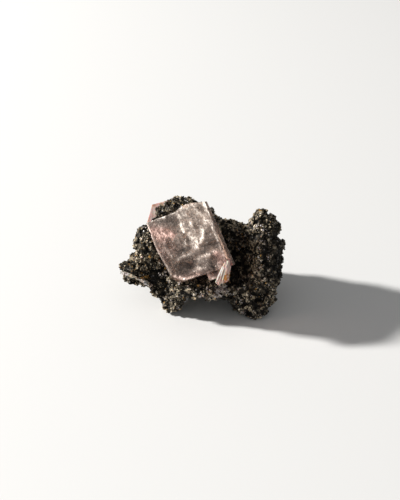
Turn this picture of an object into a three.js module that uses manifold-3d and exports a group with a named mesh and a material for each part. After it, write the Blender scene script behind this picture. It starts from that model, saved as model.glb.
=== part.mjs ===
// Calcite specimen: a clear calcite rhomb seated in a dark, granular host rock.
// Millimetres, +Z up. The rhomb's large face looks to -Y, and the rock stands on z = 0.
import * as THREE from "three";
import { ConvexGeometry } from "three/addons/geometries/ConvexGeometry.js";
import { ImprovedNoise } from "three/addons/math/ImprovedNoise.js";
import { MeshSurfaceSampler } from "three/addons/math/MeshSurfaceSampler.js";
import { MarchingCubes } from "three/addons/objects/MarchingCubes.js";
import { mergeVertices } from "three/addons/utils/BufferGeometryUtils.js";
import Module from "manifold-3d";

const wasm = await Module();
wasm.setup();

// Driving dimensions
const seatGap = 0.35; // clearance between the crystals and the rock
// The cubic lattice that the rock's surface is sampled on, turned so that it lines up with nothing
const lattice = { cell: 2.7, cells: 42, middle: [0, -2, 25], turn: [0.35, 0.45, 0.3] };
const blend = { lumps: 3.2, hollows: 2.0, crystal: 1.2 }; // radii that soften where forms meet
const coarseRelief = { wavelength: 13, height: 2.4 }; // broad swells of the rock
const clusterRelief = { spacing: 6.3, height: 4.4, middle: 0.43 }; // rounded clusters of grains
// Crystals fused to the rock: how many, their half sizes, and how deep they sit as a share of that
const grain = { count: 76, smallest: 1.5, largest: 2.7, sunk: 0.3, block: [1.5, 1.2, 1.2] };

// The lumps that the rock is built from: middle and half sizes
const lumps = {
  core: { at: [2, 4, 18], half: [26, 16, 13] },
  seatLeft: { at: [-13.6, 6, 27], half: [12.6, 13, 15] },
  seatRight: { at: [1, 8, 32], half: [8.5, 10, 12.5] },
  crustLobe: { at: [-15, 6.5, 42.1], half: [5.4, 4.5, 3.8] },
  topCrust: { at: [-8.6, 11, 36.8], half: [13, 10, 8] },
  crest: { at: [4.9, 9, 33.3], half: [4.2, 6.5, 11] },
  saddle: { at: [17.5, 13, 23.6], half: [11.5, 9, 10.2] },
  leftShoulder: { at: [-23.2, 2, 26.5], half: [9.7, 9.5, 10.5] },
  shoulderFoot: { at: [-24, -2, 17], half: [9, 9, 8] },
  leftLedge: { at: [-28.8, -3, 18.2], half: [10.2, 8.5, 4.6] },
  ledgeLip: { at: [-29.5, -6.5, 13.4], half: [6, 5.5, 2.8] },
  leftFlank: { at: [-20, -8, 11], half: [6.3, 6, 5.6] },
  leftFoot: { at: [-13, -10, 7], half: [8, 7.5, 8.5] },
  cornerKnob: { at: [-13, -16, 14], half: [6, 5, 5] },
  frontRim: { at: [3, -15, 16], half: [17, 8, 4.5] },
  rimKnob: { at: [-2, -19, 14], half: [6, 5, 4] },
  rimRidge: { at: [8, -19, 15.5], half: [8, 5, 4] },
  rimFloor: { at: [12, -8, 14], half: [7.5, 7, 5.5] },
  rightLip: { at: [16, -16, 8], half: [5, 6, 8.5] },
  rightFoot: { at: [25, -13.6, 6], half: [9, 8, 8.5] },
  pillarLow: { at: [29, -9, 16], half: [9, 9, 12] },
  pillarMid: { at: [30.8, -4, 25], half: [8, 9.5, 12.5] },
  pillarTop: { at: [30.5, 4, 34], half: [8, 8, 8.5] },
  pillarCrown: { at: [27.5, 5, 37.2], half: [5, 6, 6.2] },
  pillarShoulder: { at: [26.5, 9, 30.5], half: [4.6, 6.5, 7] },
  rightBulge: { at: [32, -5, 16], half: [7, 8, 8] },
  backLeft: { at: [-15, 14, 12], half: [13, 10, 13] },
  backMiddle: { at: [2, 16, 22], half: [15, 9, 15] },
  backRight: { at: [20, 13, 12], half: [14, 10, 12] },
  backFoot: { at: [2, 17, 5], half: [9, 7, 7] },
};

// Hollows in the lumps
const hollows = {
  arch: { at: [3, -22, 0], half: [14, 16, 12.3] },
  valley: { at: [16.4, -7, 26.5], half: [8.4, 15, 13.2] },
  rimPit: { at: [-2.5, -16.5, 20], half: [8, 3.6, 4] },
  pit: { at: [-20, -15, 15], half: [5, 6, 4.5] },
  cave: { at: [12.5, -22, 8.5], half: [6, 6, 5] },
};

// The slot that undercuts the pale vein
const slot = { at: [-31.5, -13, 14.3], half: [7.5, 6.5, 1.1] };

// The rhomb: its front face's top left corner, the edges of that face, the direction of the edges
// that run back into the rock, and how long each of those is, corner by corner
const rhomb = {
  topLeft: [-25.1, 2, 39.3],
  across: [27.1, -5.4, 14.4],
  down: [11.6, -26, -17.5],
  back: [0.56, 0.75, -0.35],
  depth: { topLeft: 9, topRight: 2, bottomRight: 3.4, bottomLeft: 11 },
};

// Where the rhomb is broken. Places on it are given as shares of its two front edges and as
// millimetres behind its front face.
const brokenEdges = {
  leftEdge: [[0, 0.44, 0], [0.07, 0.87, 0], [0, 0.87, 2.6]],
  bottomLeftCorner: [[0.05, 0.86, 0], [0.24, 1.0, 0], [0.1, 1.0, 4.5]],
  rightEdge: [[1, 0.28, 0], [0.97, 0.8, 0], [1, 0.9, 0.7]],
  bottomRightCorner: [[0.8, 1, 0], [1, 0.88, 0], [1, 1, 2.2]],
};

// A low brow on the rhomb's top edge: its outline in shares of the front edges, and its depths
const brow = {
  outline: [[0.5, 0.02], [0.58, -0.032], [0.7, -0.058], [0.8, -0.046], [0.985, 0.002]],
  depths: [0.1, 2],
};

// A lower step that the rhomb's foot grew on with: its least and greatest shares and depths
const lowerStep = { least: [0.58, 0.94, 1.3], greatest: [0.79, 1.11, 4.4] };

// The broken bottom right corner: a fused fan of splinters, from the first to the last
const splinters = {
  count: 7,
  from: [[0.89, 0.91, 1.5], [0.98, 0.9, 1.5]], // on the rhomb
  to: [[7.4, -31.8, 26.6], [10.6, -32.1, 27.6]],
  width: 2.2,
  thickness: 2.2,
  spread: 0.22, // how unevenly the blades are spaced, as a share of the fan
  narrowing: [0.5, 0.95], // how wide an end is beside its start, at least and at most
  step: 1.3, // how far one blade's face stands behind another's, at most
  slant: 3, // how much longer a blade is on one side
};

// A second, smaller rhomb behind the top left corner of the large one
const rearRhomb = {
  corner: [-25.3, 7.4, 35.4],
  edges: [[2.6, 6.2, 7.2], [7.4, 1.6, 1.4], [3.4, 3.4, -4.4]],
};

// The pale vein along the lip of the left ledge: its route, and the size of its chunks
const vein = {
  route: [[-35.6, -6.6, 17], [-31.5, -9.6, 17.2], [-27.6, -11.2, 16.2], [-24.2, -12.6, 15]],
  chunks: 7,
  size: [3.4, 2.5, 1.4],
  waist: 0.55, // how slim the middle chunks are beside the end ones
  spread: [0.85, 1.35], // how much a chunk's size varies
  roll: 1, // how far a chunk is rolled about the route, in radians from side to side
  shear: 0.2, // how far a chunk's sides slant, as a share of its length
};

const noise = new ImprovedNoise();
const vector = (numbers) => new THREE.Vector3(...numbers);

// A seeded generator of numbers from 0 to 1
function randomNumbers(seed) {
  let state = seed;
  return () => {
    state = (Math.imul(state, 1664525) + 1013904223) >>> 0;
    return state / 4294967296;
  };
}

function solidOf(geometry) {
  const bare = geometry.clone();
  bare.deleteAttribute("normal");
  bare.deleteAttribute("uv");
  const merged = mergeVertices(bare, 1e-4);
  return new wasm.Manifold(
    new wasm.Mesh({
      numProp: 3,
      vertProperties: merged.attributes.position.array,
      triVerts: new Uint32Array(merged.index.array),
    }),
  );
}

function geometryOf(solid) {
  const mesh = solid.getMesh();
  const geometry = new THREE.BufferGeometry();
  geometry.setAttribute("position", new THREE.BufferAttribute(mesh.vertProperties, 3));
  geometry.setIndex(new THREE.BufferAttribute(mesh.triVerts, 1));
  geometry.computeVertexNormals();
  return geometry;
}

// A repeatable number from 0 to 1 for a cell of the cluster lattice
function cellNumber(i, j, k, salt) {
  const wave = Math.sin(i * 127.1 + j * 311.7 + k * 74.7 + salt * 53.3) * 43758.5453;
  return wave - Math.floor(wave);
}

// Distance from a point to the nearest cluster's middle, in cluster spacings
function clusterDistance(point) {
  const cell = point.clone().divideScalar(clusterRelief.spacing);
  const base = cell.clone().floor();
  const middle = new THREE.Vector3();
  let nearest = Infinity;
  for (let i = -1; i <= 1; i++) {
    for (let j = -1; j <= 1; j++) {
      for (let k = -1; k <= 1; k++) {
        const [x, y, z] = [base.x + i, base.y + j, base.z + k];
        middle.set(x + cellNumber(x, y, z, 1), y + cellNumber(x, y, z, 2), z + cellNumber(x, y, z, 3));
        nearest = Math.min(nearest, middle.distanceTo(cell));
      }
    }
  }
  return nearest;
}

// How far the rock's surface stands out at a point
function relief(point) {
  const at = point.clone().divideScalar(coarseRelief.wavelength);
  const swell = noise.noise(at.x, at.y, at.z) + 0.5 * noise.noise(2 * at.x + 7, 2 * at.y, 2 * at.z);
  const cluster = clusterRelief.middle - clusterDistance(point);
  return coarseRelief.height * swell + clusterRelief.height * cluster;
}

// Signed distance to an ellipsoid, negative inside
function lumpDistance(point, { at, half }) {
  const local = point.clone().sub(vector(at));
  const size = vector(half);
  const reach = local.clone().divide(size).length();
  const slope = local.clone().divide(size).divide(size).length();
  return slope < 1e-6 ? -Math.min(...half) : (reach * (reach - 1)) / slope;
}

// The smaller of two distances, with a rounded fillet where they meet
function softMin(a, b, radius) {
  const mix = Math.max(radius - Math.abs(a - b), 0) / radius;
  return Math.min(a, b) - (mix * mix * radius) / 4;
}

const softMax = (a, b, radius) => -softMin(-a, -b, radius);

// The corners of the rhomb, front face first
function rhombCorners() {
  const topLeft = vector(rhomb.topLeft);
  const topRight = topLeft.clone().add(vector(rhomb.across));
  const bottomLeft = topLeft.clone().add(vector(rhomb.down));
  const bottomRight = topRight.clone().add(vector(rhomb.down));
  const front = { topLeft, topRight, bottomRight, bottomLeft };
  const back = {};
  for (const [name, corner] of Object.entries(front)) {
    back[name] = corner.clone().addScaledVector(vector(rhomb.back), rhomb.depth[name]);
  }
  return { front, back };
}

// A place on the rhomb: shares of its front edges, and millimetres behind its front face
function onRhomb([acrossShare, downShare, depth]) {
  return vector(rhomb.topLeft)
    .addScaledVector(vector(rhomb.across), acrossShare)
    .addScaledVector(vector(rhomb.down), downShare)
    .addScaledVector(vector(rhomb.back), depth);
}

// Signed distance to the space in front of the rhomb's large face, which the rock leaves open
function openSideDistance(point) {
  const across = vector(rhomb.across);
  const down = vector(rhomb.down);
  const back = vector(rhomb.back);
  const from = point.clone().sub(vector(rhomb.topLeft));
  const facing = new THREE.Vector3().crossVectors(across, down).normalize();
  const upward = new THREE.Vector3().crossVectors(across, back).normalize();
  const leftward = new THREE.Vector3().crossVectors(back, down).normalize();
  const opposite = from.clone().sub(across).sub(down);
  return Math.max(
    facing.dot(from),
    upward.dot(from),
    -upward.dot(opposite),
    leftward.dot(from),
    -leftward.dot(opposite),
  );
}

function rockDistance(point) {
  let distance = Infinity;
  for (const lump of Object.values(lumps)) {
    distance = softMin(distance, lumpDistance(point, lump), blend.lumps);
  }
  for (const hollow of Object.values(hollows)) {
    distance = softMax(distance, -lumpDistance(point, hollow), blend.hollows);
  }
  distance -= relief(point);
  return softMax(distance, -openSideDistance(point), blend.crystal);
}

// The rock's surface, sampled on a cubic lattice
function rockSurface() {
  const { cell, cells, middle, turn } = lattice;
  const place = new THREE.Matrix4().makeRotationFromEuler(new THREE.Euler(...turn)).setPosition(...middle);
  const surface = new MarchingCubes(cells, undefined, false, false, 20000);
  const point = new THREE.Vector3();
  const nearest = 0.04 * cell; // keeps the surface off the lattice's own points
  for (let k = 0; k < cells; k++) {
    for (let j = 0; j < cells; j++) {
      for (let i = 0; i < cells; i++) {
        point.set(i, j, k).subScalar(cells / 2).multiplyScalar(cell).applyMatrix4(place);
        const depth = -rockDistance(point);
        const clear = Math.abs(depth) < nearest ? nearest * (Math.sign(depth) || 1) : depth;
        surface.field[i + cells * (j + cells * k)] = clear;
      }
    }
  }
  surface.isolation = 0;
  surface.update();
  const positions = surface.positionArray.slice(0, surface.count * 3);
  const geometry = new THREE.BufferGeometry();
  geometry.setAttribute("position", new THREE.BufferAttribute(positions, 3));
  geometry.scale(...Array(3).fill((cell * cells) / 2)).applyMatrix4(place);
  return geometry;
}

// The corners of a block with a given middle and three edge vectors
function blockCorners(middle, edges) {
  const corners = [];
  for (const i of [-0.5, 0.5]) {
    for (const j of [-0.5, 0.5]) {
      for (const k of [-0.5, 0.5]) {
        const corner = middle.clone();
        [i, j, k].forEach((share, axis) => corner.addScaledVector(edges[axis], share));
        corners.push(corner);
      }
    }
  }
  return corners;
}

// The same corners moved out to every side, for the seat that a crystal leaves in the rock
function grownCorners(corners, margin) {
  const axes = [new THREE.Vector3(1, 0, 0), new THREE.Vector3(0, 1, 0), new THREE.Vector3(0, 0, 1)];
  const cube = axes.map((axis) => axis.multiplyScalar(2 * margin));
  return corners.flatMap((corner) => blockCorners(corner, cube));
}

const hull = (corners) => solidOf(new ConvexGeometry(corners));

// The corners of the brow
function browCorners() {
  return brow.outline.flatMap((shares) => brow.depths.map((depth) => onRhomb([...shares, depth])));
}

// The corners of the lower step
function stepCorners() {
  const [across, down, depth] = lowerStep.least.map((least, axis) => [least, lowerStep.greatest[axis]]);
  return across.flatMap((a) => down.flatMap((b) => depth.map((c) => onRhomb([a, b, c]))));
}

// A wedge that takes away what lies outside the plane through three places on the rhomb
function breakCutter(places) {
  const [a, b, c] = places.map(onRhomb);
  const normal = b.clone().sub(a).cross(c.clone().sub(a)).normalize();
  const middle = onRhomb([0.5, 0.5, rhomb.depth.bottomRight]);
  if (normal.dot(middle.clone().sub(a)) > 0) normal.negate();
  const along = b.clone().sub(a).normalize();
  const beside = normal.clone().cross(along);
  const reach = 40; // longer than any break
  const edges = [along, beside, normal.clone()].map((edge) => edge.multiplyScalar(reach));
  return hull(blockCorners(a.addScaledVector(normal, reach / 2), edges));
}

// The blades of the splintered corner, each a hull round its two ends
function splinterBlades() {
  const random = randomNumbers(5);
  const blades = [];
  const inward = vector(rhomb.across).cross(vector(rhomb.down)).normalize();
  for (let i = 0; i < splinters.count; i++) {
    const share = i / (splinters.count - 1) + splinters.spread * (random() - 0.5);
    const stepped = inward.clone().multiplyScalar(splinters.step * random());
    const start = onRhomb(splinters.from[0]).lerp(onRhomb(splinters.from[1]), share);
    const end = vector(splinters.to[0]).lerp(vector(splinters.to[1]), share).add(stepped);
    const along = end.clone().sub(start).normalize();
    const beside = along.clone().cross(inward).normalize();
    const narrowed = THREE.MathUtils.lerp(...splinters.narrowing, random());
    const slant = splinters.slant * (random() - 0.5);
    const corners = [];
    for (const side of [-0.5, 0.5]) {
      for (const level of [-0.5, 0.5]) {
        const across = beside.clone().multiplyScalar(side * splinters.width);
        const deep = inward.clone().multiplyScalar(level * splinters.thickness);
        corners.push(start.clone().add(across).add(deep));
        corners.push(
          end
            .clone()
            .addScaledVector(across, narrowed)
            .addScaledVector(deep, narrowed)
            .addScaledVector(along, slant * side),
        );
      }
    }
    blades.push(corners);
  }
  return blades;
}

// The chunks of the pale vein, along a smooth curve
function veinChunks() {
  const random = randomNumbers(11);
  const route = new THREE.CatmullRomCurve3(vein.route.map(vector));
  const chunks = [];
  for (let i = 0; i < vein.chunks; i++) {
    const share = i / (vein.chunks - 1);
    const along = route.getTangentAt(share);
    const turn = new THREE.Quaternion().setFromUnitVectors(new THREE.Vector3(1, 0, 0), along);
    const roll = new THREE.Euler(vein.roll * (random() - 0.5), 0.3 * vein.roll * random(), 0);
    turn.multiply(new THREE.Quaternion().setFromEuler(roll));
    const slim = THREE.MathUtils.lerp(vein.waist, 1, Math.abs(2 * share - 1));
    const edges = vein.size.map((length, axis) =>
      new THREE.Vector3()
        .setComponent(axis, length * THREE.MathUtils.lerp(...vein.spread, random()))
        .applyQuaternion(turn),
    );
    edges[1].multiplyScalar(slim);
    edges[2].multiplyScalar(slim);
    edges[1].addScaledVector(edges[0], vein.shear);
    chunks.push(blockCorners(route.getPointAt(share), edges));
  }
  return chunks;
}

// Small crystals, fused to the rock where a sampler finds its surface
function grains(rockMesh) {
  const random = randomNumbers(29);
  const sampler = new MeshSurfaceSampler(rockMesh).setRandomGenerator(random).build();
  const place = new THREE.Vector3();
  const normal = new THREE.Vector3();
  const solids = [];
  for (let i = 0; i < grain.count; i++) {
    sampler.sample(place, normal);
    const size = grain.smallest + (grain.largest - grain.smallest) * random() ** 2;
    const shape = i % 2 ? new THREE.OctahedronGeometry(1) : new THREE.BoxGeometry(...grain.block);
    const turn = new THREE.Euler(Math.PI * random(), Math.PI * random(), Math.PI * random());
    const matrix = new THREE.Matrix4().makeRotationFromEuler(turn);
    matrix.scale(new THREE.Vector3(size, size * (0.7 + 0.3 * random()), size * (0.7 + 0.5 * random())));
    matrix.setPosition(place.addScaledVector(normal, -grain.sunk * size));
    solids.push(solidOf(shape.applyMatrix4(matrix)));
  }
  return solids;
}

const union = (solids) => wasm.Manifold.union(solids);
const seatOf = (blocks) => union(blocks.map((corners) => hull(grownCorners(corners, seatGap))));

const { front, back } = rhombCorners();
const largeRhomb = [...Object.values(front), ...Object.values(back)];
const rearEdges = rearRhomb.edges.map(vector);
const rearMiddle = rearEdges.reduce((sum, edge) => sum.addScaledVector(edge, 0.5), vector(rearRhomb.corner));
const smallRhomb = blockCorners(rearMiddle, rearEdges);
const brokenRhomb = Object.values(brokenEdges).reduce(
  (solid, places) => solid.subtract(breakCutter(places)),
  hull(largeRhomb),
);
const outgrowths = [browCorners(), stepCorners(), ...splinterBlades()];
const calcite = union([brokenRhomb, ...outgrowths.map(hull)]);
const calciteSeat = seatOf([largeRhomb, ...outgrowths]);
const rearCalcite = hull(smallRhomb).subtract(calciteSeat);

const chunks = veinChunks();
const veinSolid = union(chunks.map(hull));
const veinSeat = seatOf(chunks);

const ground = solidOf(new THREE.BoxGeometry(200, 200, 50).translate(0, 0, -25));
const slotCutter = solidOf(new THREE.SphereGeometry(1, 12, 8).scale(...slot.half).translate(...slot.at));
const bareRock = rockSurface();
const crusted = union([solidOf(bareRock), ...grains(new THREE.Mesh(bareRock))]);
const seats = union([calciteSeat, seatOf([smallRhomb]), veinSeat]);
const cutRock = crusted.subtract(seats).subtract(slotCutter).subtract(ground);
const rock = cutRock.decompose().sort((a, b) => b.volume() - a.volume())[0];

const materials = {
  rock: new THREE.MeshStandardMaterial({ color: 0x3b362d, roughness: 0.7, metalness: 0 }),
  calcite: new THREE.MeshStandardMaterial({ color: 0xd9c5bd, roughness: 0.15, metalness: 0 }),
  vein: new THREE.MeshStandardMaterial({ color: 0xcfc8b8, roughness: 0.45, metalness: 0 }),
};

function meshOf(name, solid, material) {
  const mesh = new THREE.Mesh(geometryOf(solid), material);
  mesh.name = name;
  return mesh;
}

const specimen = new THREE.Group();
specimen.add(meshOf("host_rock", rock, materials.rock));
specimen.add(meshOf("calcite_rhomb", calcite, materials.calcite));
specimen.add(meshOf("calcite_rear", rearCalcite, materials.calcite));
specimen.add(meshOf("calcite_vein", veinSolid, materials.vein));

// The origin is at the middle of the specimen's foot
const box = new THREE.Box3().setFromObject(specimen);
const middle = box.getCenter(new THREE.Vector3());
specimen.position.set(-middle.x, -middle.y, -box.min.z);

export default specimen;
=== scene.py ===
import bmesh
import bpy
import numpy as np
from mathutils import Matrix, Vector, noise
from mathutils.bvhtree import BVHTree


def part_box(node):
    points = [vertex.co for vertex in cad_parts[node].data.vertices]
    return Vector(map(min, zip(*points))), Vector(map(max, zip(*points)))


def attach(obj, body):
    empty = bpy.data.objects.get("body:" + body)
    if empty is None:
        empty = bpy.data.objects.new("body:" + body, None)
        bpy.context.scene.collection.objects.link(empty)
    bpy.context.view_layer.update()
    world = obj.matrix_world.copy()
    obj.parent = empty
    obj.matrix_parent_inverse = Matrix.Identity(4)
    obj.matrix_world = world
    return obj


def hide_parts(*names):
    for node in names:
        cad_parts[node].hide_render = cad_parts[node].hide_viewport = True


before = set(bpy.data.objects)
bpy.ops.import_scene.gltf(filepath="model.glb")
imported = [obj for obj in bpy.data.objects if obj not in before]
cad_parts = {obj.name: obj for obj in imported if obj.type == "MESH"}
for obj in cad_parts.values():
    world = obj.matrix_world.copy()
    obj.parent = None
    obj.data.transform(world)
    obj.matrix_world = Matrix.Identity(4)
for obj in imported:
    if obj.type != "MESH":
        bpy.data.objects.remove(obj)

# A clear calcite crystal in a dark, granular rock. Lengths in the dictionaries are millimetres.
mm = 0.001
noise.seed_set(7)  # noise_vector takes its offsets from the clock without it
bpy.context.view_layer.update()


# small helpers for meshes

def mergedCopy(nodeName):
    bm = bmesh.new()
    bm.from_mesh(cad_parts[nodeName].data)
    bmesh.ops.remove_doubles(bm, verts=bm.verts, dist=0.001 * mm)
    return bm


def finishPiece(name, mesh, material):
    piece = bpy.data.objects.new(name, mesh)
    bpy.context.scene.collection.objects.link(piece)
    mesh.materials.append(material)
    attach(piece, "root")
    return piece


def meshFrom(bm, name):
    mesh = bpy.data.meshes.new(name)
    bm.to_mesh(mesh)
    bm.free()
    return mesh


def appliedModifier(mesh, kind, **settings):
    carrier = bpy.data.objects.new("carrier", mesh)
    bpy.context.scene.collection.objects.link(carrier)
    modifier = carrier.modifiers.new(kind, kind)
    for key, value in settings.items():
        setattr(modifier, key, value)
    graph = bpy.context.evaluated_depsgraph_get()
    result = bpy.data.meshes.new_from_object(carrier.evaluated_get(graph))
    bpy.data.objects.remove(carrier)
    return result


def vertexArray(mesh, field="co"):
    numbers = np.empty(len(mesh.vertices) * 3)
    if field == "normal":
        mesh.vertex_normals.foreach_get("vector", numbers)
    else:
        mesh.vertices.foreach_get("co", numbers)
    return numbers.reshape(-1, 3)


def voxelMesh(mesh, size, smoothing):
    # smoothed here, because the smooth modifier's result depends a little on the number of threads
    mesh = appliedModifier(mesh, "REMESH", mode="VOXEL", voxel_size=size * mm)
    places = vertexArray(mesh)
    quads = np.array([polygon.vertices[:] for polygon in mesh.polygons])
    beside = np.concatenate([np.roll(quads, 1, axis=1), np.roll(quads, -1, axis=1)]).ravel()
    own = np.tile(quads.ravel(), 2)
    counts = np.bincount(own)
    for _ in range(smoothing):
        sums = np.stack([np.bincount(own, axis[beside]) for axis in places.T], axis=1)
        places = (places + sums / counts[:, None]) / 2
    mesh.vertices.foreach_set("co", places.ravel())
    mesh.update()
    return mesh


def bevelEdges(bm, offset, segments):
    bmesh.ops.bevel(
        bm, geom=bm.edges[:], affect="EDGES", offset=offset, segments=segments, profile=0.5, material=-1
    )


def addAttribute(mesh, name, values):
    values = np.asarray(values, np.float32)
    kind, field = ("FLOAT", "value") if values.ndim == 1 else ("FLOAT_VECTOR", "vector")
    attribute = mesh.attributes.new(name, kind, "POINT")
    attribute.data.foreach_set(field, values.ravel())


# small helpers for materials

def startMaterial(name):
    material = bpy.data.materials.new(name)
    material.use_nodes = True
    tree = material.node_tree
    return material, tree, tree.nodes["Principled BSDF"]


def addNode(tree, kind, inputs=None, **settings):
    node = tree.nodes.new("ShaderNode" + kind)
    for key, value in settings.items():
        setattr(node, key, value)
    for key, value in (inputs or {}).items():
        if isinstance(value, bpy.types.NodeSocket):
            tree.links.new(value, node.inputs[key])
        else:
            node.inputs[key].default_value = value
    return node


def addRamp(tree, factor, stops):
    ramp = addNode(tree, "ValToRGB", {"Fac": factor})
    elements = ramp.color_ramp.elements
    while len(elements) < len(stops):
        elements.new(0.5)
    for element, (position, colour) in zip(elements, stops):
        element.position = position
        element.color = (*colour, 1)
    return ramp.outputs["Color"]


def readAttribute(tree, name, output="Fac"):
    return addNode(tree, "Attribute", attribute_name=name).outputs[output]


def addNoise(tree, scale, detail, place=None):
    place = place or addNode(tree, "TexCoord").outputs["Object"]
    noiseNode = addNode(tree, "TexNoise", {"Vector": place, "Scale": scale, "Detail": detail})
    return noiseNode.outputs["Fac"]


def addRange(tree, value, fromLow, fromHigh, toLow, toHigh):
    bounds = {"From Min": fromLow, "From Max": fromHigh, "To Min": toLow, "To Max": toHigh}
    return addNode(tree, "MapRange", {"Value": value, **bounds}).outputs["Result"]


def addMath(tree, operation, a, b, clamped=False):
    return addNode(tree, "Math", {0: a, 1: b}, operation=operation, use_clamp=clamped).outputs[0]


def addMultiply(tree, a, b, factor=1.0):
    mixed = addNode(tree, "Mix", data_type="RGBA", blend_type="MULTIPLY")
    for key, value in (("Factor", factor), ("A", a), ("B", b)):
        socket = next(s for s in mixed.inputs if s.enabled and s.name == key)
        if isinstance(value, bpy.types.NodeSocket):
            tree.links.new(value, socket)
        else:
            socket.default_value = value
    return next(s for s in mixed.outputs if s.enabled)


def addNoiseRange(tree, settings, place=None):
    # settings: scale and detail of the noise, a range of it, and what that range becomes
    scale, detail, *limits = settings
    return addRange(tree, addNoise(tree, scale, detail, place), *limits)


def addNoiseRamp(tree, settings, low, high):
    # settings: scale and detail of the noise, and where on it the two colours stand
    scale, detail, lowPosition, highPosition = settings
    return addRamp(tree, addNoise(tree, scale, detail), [(lowPosition, low), (highPosition, high)])


def addBump(tree, shader, height, strength, distance):
    bump = addNode(tree, "Bump", {"Height": height, "Strength": strength, "Distance": distance})
    tree.links.new(bump.outputs["Normal"], shader.inputs["Normal"])


def setSubsurface(shader, settings):
    weight, depth = settings
    shader.inputs["Subsurface Weight"].default_value = weight
    shader.inputs["Subsurface Scale"].default_value = depth * mm


def addGrit(tree, shader, settings):
    # settings: scale and detail of the noise, strength and depth of the relief it makes
    scale, detail, strength, depth = settings
    addBump(tree, shader, addNoise(tree, scale, detail), strength, depth * mm)


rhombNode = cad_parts["calcite_rhomb"]
topRight = max((vert.co for vert in rhombNode.data.vertices), key=lambda co: co.z) / mm
origin = topRight - Vector((2.0, -3.4, 53.7))  # the point on the floor that places are measured from
white = (1, 1, 1)


# camera, floor and light, set first so that everything is seen as it is made

view = {
    "elevation": 32,            # degrees above the floor
    "distance": 471,
    "lift": 21.8,               # how far the frame's middle lies above that point
    "lens": 70,
    "sensor": 36,
    "clipEnd": 20000,
}


def makeCamera():
    data = bpy.data.cameras.new("photoCamera")
    data.lens = view["lens"]
    data.sensor_width = view["sensor"]
    data.clip_end = view["clipEnd"] * mm
    camera = bpy.data.objects.new("photoCamera", data)
    bpy.context.scene.collection.objects.link(camera)
    turn = Matrix.Rotation(np.radians(90 - view["elevation"]), 4, "X")
    offset = turn @ Vector((0, view["lift"], view["distance"]))
    camera.matrix_world = Matrix.Translation((origin + offset) * mm) @ turn
    bpy.context.scene.camera = camera


studio = {
    "floorSide": 8000,
    "floorColour": (0.79, 0.8, 0.815),
    "floorRoughness": 0.7,
    "keyFrom": (-0.88, 0.13, 0.46),  # the way the key light comes from
    "keyDistance": 3000,
    "keySide": 240,
    "keyPower": 181,
    "keyColour": (1.0, 0.97, 0.92),
    "skyColour": (1.0, 0.99, 0.965),
    "skyStrength": 0.27,
}


def makeStudio():
    bm = bmesh.new()
    bmesh.ops.create_grid(bm, x_segments=1, y_segments=1, size=studio["floorSide"] * mm / 2)
    mesh = meshFrom(bm, "floor")
    material, tree, shader = startMaterial("paleFloor")
    shader.inputs["Base Color"].default_value = (*studio["floorColour"], 1)
    shader.inputs["Roughness"].default_value = studio["floorRoughness"]
    mesh.materials.append(material)
    floor = bpy.data.objects.new("floor", mesh)
    bpy.context.scene.collection.objects.link(floor)

    data = bpy.data.lights.new("keyLight", "AREA")
    data.size = studio["keySide"] * mm
    data.energy = studio["keyPower"]
    data.color = studio["keyColour"]
    key = bpy.data.objects.new("keyLight", data)
    bpy.context.scene.collection.objects.link(key)
    way = Vector(studio["keyFrom"]).normalized()
    place = Matrix.Translation(way * studio["keyDistance"] * mm)
    key.matrix_world = place @ way.to_track_quat("Z", "Y").to_matrix().to_4x4()

    world = bpy.data.worlds.new("softSky")
    world.use_nodes = True
    sky = world.node_tree.nodes["Background"]
    sky.inputs["Color"].default_value = (*studio["skyColour"], 1)
    sky.inputs["Strength"].default_value = studio["skyStrength"]
    bpy.context.scene.world = world
    bpy.context.scene.view_settings.view_transform = "Standard"


makeCamera()
makeStudio()
print("camera, floor and light set")


# distances to the crystals, so that no rock cuts into them

crystalSolid = bmesh.new()
for nodeName in ("calcite_rhomb", "calcite_rear", "calcite_vein"):
    crystalSolid.from_mesh(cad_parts[nodeName].data)
crystalTree = BVHTree.FromBMesh(crystalSolid)
crystalSolid.free()


def keptOffCrystals(places, clearance, searched):
    moved = places.copy()
    for i, place in enumerate(places):
        near, normal = crystalTree.find_nearest(Vector(place), searched)[:2]
        if near is None:
            continue
        outward = (Vector(place) - near).dot(normal)
        if outward < clearance:
            moved[i] = near + normal * clearance
    return moved


# the host rock's body, under its grains

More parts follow.
